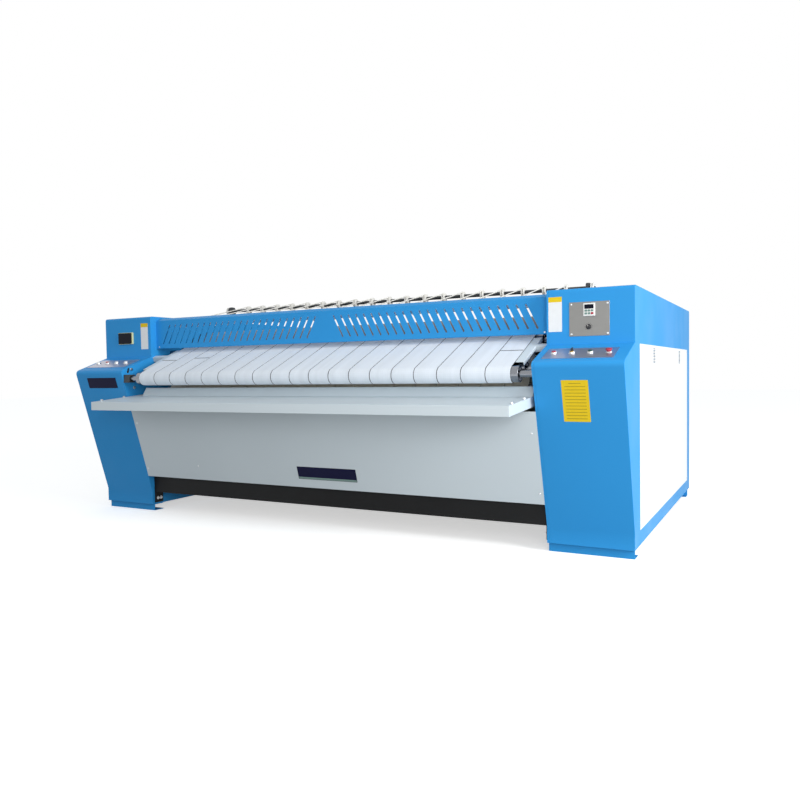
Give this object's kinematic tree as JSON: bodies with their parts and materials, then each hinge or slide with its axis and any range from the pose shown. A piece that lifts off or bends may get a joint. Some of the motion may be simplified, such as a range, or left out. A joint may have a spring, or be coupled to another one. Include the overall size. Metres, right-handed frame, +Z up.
{
  "type": "flatwork ironer",
  "caption": "Floor-standing laundry machine that dries and presses flat linen between belts and wide heated drums, with feed table, conveyor belts and a control cabinet at each end.",
  "frame": {"origin": "on the floor, under the middle of the machine's bounding box", "axes": "+X along the drums to the operator's right, +Y from the feed side to the back, +Z up"},
  "size_m": [4.1066, 2.918, 1.632],
  "materials": {
    "blue_paint": "semi-gloss blue enamel on sheet steel",
    "white_paint": "satin white enamel on sheet steel",
    "grey_paint": "satin pale grey enamel on sheet steel",
    "black_paint": "satin black enamel on steel tube",
    "stainless": "brushed stainless plate",
    "chromed_steel": "polished steel",
    "machined_steel": "turned bare steel",
    "cast_iron": "oiled cast iron and chain steel",
    "white_canvas": "white woven conveyor canvas",
    "beige_canvas": "heat-resistant needled belt",
    "white_plastic": "smooth white moulding",
    "black_plastic": "fine-textured black moulding",
    "red_plastic": "smooth red moulding",
    "green_plastic": "smooth dark green moulding"
  },
  "bodies": {
    "frame": {"left_end_frame": "blue_paint", "left_casing": "blue_paint", "left_side_panel": "white_paint", "left_front_plinth": "blue_paint", "left_rear_foot": "blue_paint", "right_end_frame": "blue_paint", "right_casing": "blue_paint", "right_side_panel": "white_paint", "right_front_plinth": "blue_paint", "right_rear_foot": "blue_paint", "front_guard": "blue_paint", "rear_guard": "blue_paint", "front_panel": "grey_paint", "rear_panel": "grey_paint", "base_beam": "black_paint", "rear_beam": "black_paint", "feed_table": "grey_paint", "outfeed_table": "grey_paint", "feed_belts": "white_canvas", "slider_bed": "grey_paint", "left_roller_bearing": "cast_iron", "front_drum_bearing_left": "cast_iron", "front_drum_bearing_right": "cast_iron", "rear_drum_bearing_left": "cast_iron", "rear_drum_bearing_right": "cast_iron", "ironing_belts": "beige_canvas", "drive_chain": "cast_iron", "gear_motor": "cast_iron", "left_shaft_bracket": "machined_steel", "right_shaft_bracket": "machined_steel", "left_console_plate": "stainless", "right_console_plate": "stainless", "control_plate": "stainless", "keypad_unit": "white_plastic", "left_display": "black_plastic"},
    "front_drum": {"front_drum": "chromed_steel", "front_drum_sprocket": "machined_steel"},
    "rear_drum": {"rear_drum": "chromed_steel", "rear_drum_sprocket": "machined_steel"},
    "front_feed_roller": {"front_feed_roller": "chromed_steel"},
    "tension_roller": {"tension_roller": "chromed_steel"},
    "rear_feed_roller": {"rear_feed_roller": "chromed_steel"},
    "entry_roller": {"entry_roller": "machined_steel"},
    "front_return_roller": {"front_return_roller": "machined_steel"},
    "lower_front_roller": {"lower_front_roller": "machined_steel"},
    "lower_rear_roller": {"lower_rear_roller": "machined_steel"},
    "exit_roller": {"exit_roller": "machined_steel"},
    "motor_sprocket": {"motor_sprocket": "machined_steel"},
    "guide_shaft": {"guide_shaft": "machined_steel"},
    "cord_rod": {"cord_rod": "chromed_steel"},
    "left_button_1": {"left_button_1": "white_plastic"},
    "left_button_2": {"left_button_2": "white_plastic"},
    "left_button_3": {"left_button_3": "white_plastic"},
    "left_button_4": {"left_button_4": "white_plastic"},
    "right_button_red": {"right_button_red": "red_plastic"},
    "selector_switch": {"selector_switch": "black_plastic"},
    "right_button_green": {"right_button_green": "green_plastic"},
    "stop_button": {"stop_button": "red_plastic"},
    "speed_knob": {"speed_knob": "black_plastic"}
  },
  "joints": [
    {"name": "front_drum_spin", "type": "hinge", "parent": "frame", "child": "front_drum", "pos_m": [0, -0.236, 1], "axis": [1, 0, 0], "continuous": true},
    {"name": "rear_drum_spin", "type": "hinge", "parent": "frame", "child": "rear_drum", "pos_m": [0, 0.664, 1], "axis": [1, 0, 0], "continuous": true},
    {"name": "front_feed_roller_spin", "type": "hinge", "parent": "frame", "child": "front_feed_roller", "pos_m": [0, -1.121, 1.026], "axis": [1, 0, 0], "continuous": true},
    {"name": "tension_roller_spin", "type": "hinge", "parent": "frame", "child": "tension_roller", "pos_m": [0, -1.006, 1.05], "axis": [1, 0, 0], "continuous": true},
    {"name": "rear_feed_roller_spin", "type": "hinge", "parent": "frame", "child": "rear_feed_roller", "pos_m": [0, -0.66083, 1.22157], "axis": [1, 0, 0], "continuous": true},
    {"name": "entry_roller_spin", "type": "hinge", "parent": "frame", "child": "entry_roller", "pos_m": [0, -0.698, 1.09], "axis": [1, 0, 0], "continuous": true},
    {"name": "front_return_roller_spin", "type": "hinge", "parent": "frame", "child": "front_return_roller", "pos_m": [0, -0.831, 0.925], "axis": [1, 0, 0], "continuous": true},
    {"name": "lower_front_roller_spin", "type": "hinge", "parent": "frame", "child": "lower_front_roller", "pos_m": [0, -0.781, 0.38], "axis": [1, 0, 0], "continuous": true},
    {"name": "lower_rear_roller_spin", "type": "hinge", "parent": "frame", "child": "lower_rear_roller", "pos_m": [0, 1.234, 0.43], "axis": [1, 0, 0], "continuous": true},
    {"name": "exit_roller_spin", "type": "hinge", "parent": "frame", "child": "exit_roller", "pos_m": [0, 1.126, 1.09], "axis": [1, 0, 0], "continuous": true},
    {"name": "motor_sprocket_spin", "type": "hinge", "parent": "frame", "child": "motor_sprocket", "pos_m": [-1.76, 0.214, 0.47], "axis": [1, 0, 0], "continuous": true},
    {"name": "guide_shaft_spin", "type": "hinge", "parent": "frame", "child": "guide_shaft", "pos_m": [0, 0.079, 1.598], "axis": [1, 0, 0], "continuous": true},
    {"name": "cord_rod_spin", "type": "hinge", "parent": "frame", "child": "cord_rod", "pos_m": [0, -0.736, 1.43], "axis": [1, 0, 0], "continuous": true},
    {"name": "left_button_1_press", "type": "slide", "parent": "frame", "child": "left_button_1", "axis": [0, 0.3277, -0.9448], "range_m": [0, 0.004], "stiffness_N_per_m": 600, "springref_m": -0.002},
    {"name": "left_button_2_press", "type": "slide", "parent": "frame", "child": "left_button_2", "axis": [0, 0.3277, -0.9448], "range_m": [0, 0.004], "stiffness_N_per_m": 600, "springref_m": -0.002},
    {"name": "left_button_3_press", "type": "slide", "parent": "frame", "child": "left_button_3", "axis": [0, 0.3277, -0.9448], "range_m": [0, 0.004], "stiffness_N_per_m": 600, "springref_m": -0.002},
    {"name": "left_button_4_press", "type": "slide", "parent": "frame", "child": "left_button_4", "axis": [0, 0.3277, -0.9448], "range_m": [0, 0.004], "stiffness_N_per_m": 600, "springref_m": -0.002},
    {"name": "right_button_red_press", "type": "slide", "parent": "frame", "child": "right_button_red", "axis": [0, 0.3277, -0.9448], "range_m": [0, 0.004], "stiffness_N_per_m": 600, "springref_m": -0.002},
    {"name": "right_button_green_press", "type": "slide", "parent": "frame", "child": "right_button_green", "axis": [0, 0.3277, -0.9448], "range_m": [0, 0.004], "stiffness_N_per_m": 600, "springref_m": -0.002},
    {"name": "stop_button_press", "type": "slide", "parent": "frame", "child": "stop_button", "axis": [0, 0.3277, -0.9448], "range_m": [0, 0.005]},
    {"name": "selector_switch_turn", "type": "hinge", "parent": "frame", "child": "selector_switch", "pos_m": [1.74633, -1.03317, 1.13349], "axis": [0, -0.3277, 0.9448], "range_deg": [-45, 45]},
    {"name": "speed_knob_turn", "type": "hinge", "parent": "frame", "child": "speed_knob", "pos_m": [1.799, -0.876, 1.282], "axis": [0, -1, 0], "range_deg": [-270, 0]}
  ],
  "couplings": [
    {"joint": "rear_drum_spin", "follows": "front_drum_spin", "ratio": 1},
    {"joint": "motor_sprocket_spin", "follows": "front_drum_spin", "ratio": 2.5},
    {"joint": "front_feed_roller_spin", "follows": "front_drum_spin", "ratio": -8},
    {"joint": "tension_roller_spin", "follows": "front_drum_spin", "ratio": -8},
    {"joint": "rear_feed_roller_spin", "follows": "front_drum_spin", "ratio": -8},
    {"joint": "entry_roller_spin", "follows": "front_drum_spin", "ratio": -9.41},
    {"joint": "front_return_roller_spin", "follows": "front_drum_spin", "ratio": -9.41},
    {"joint": "lower_front_roller_spin", "follows": "front_drum_spin", "ratio": -9.41},
    {"joint": "lower_rear_roller_spin", "follows": "front_drum_spin", "ratio": -9.41},
    {"joint": "exit_roller_spin", "follows": "front_drum_spin", "ratio": -9.41},
    {"joint": "cord_rod_spin", "follows": "guide_shaft_spin", "ratio": 1.786}
  ]
}
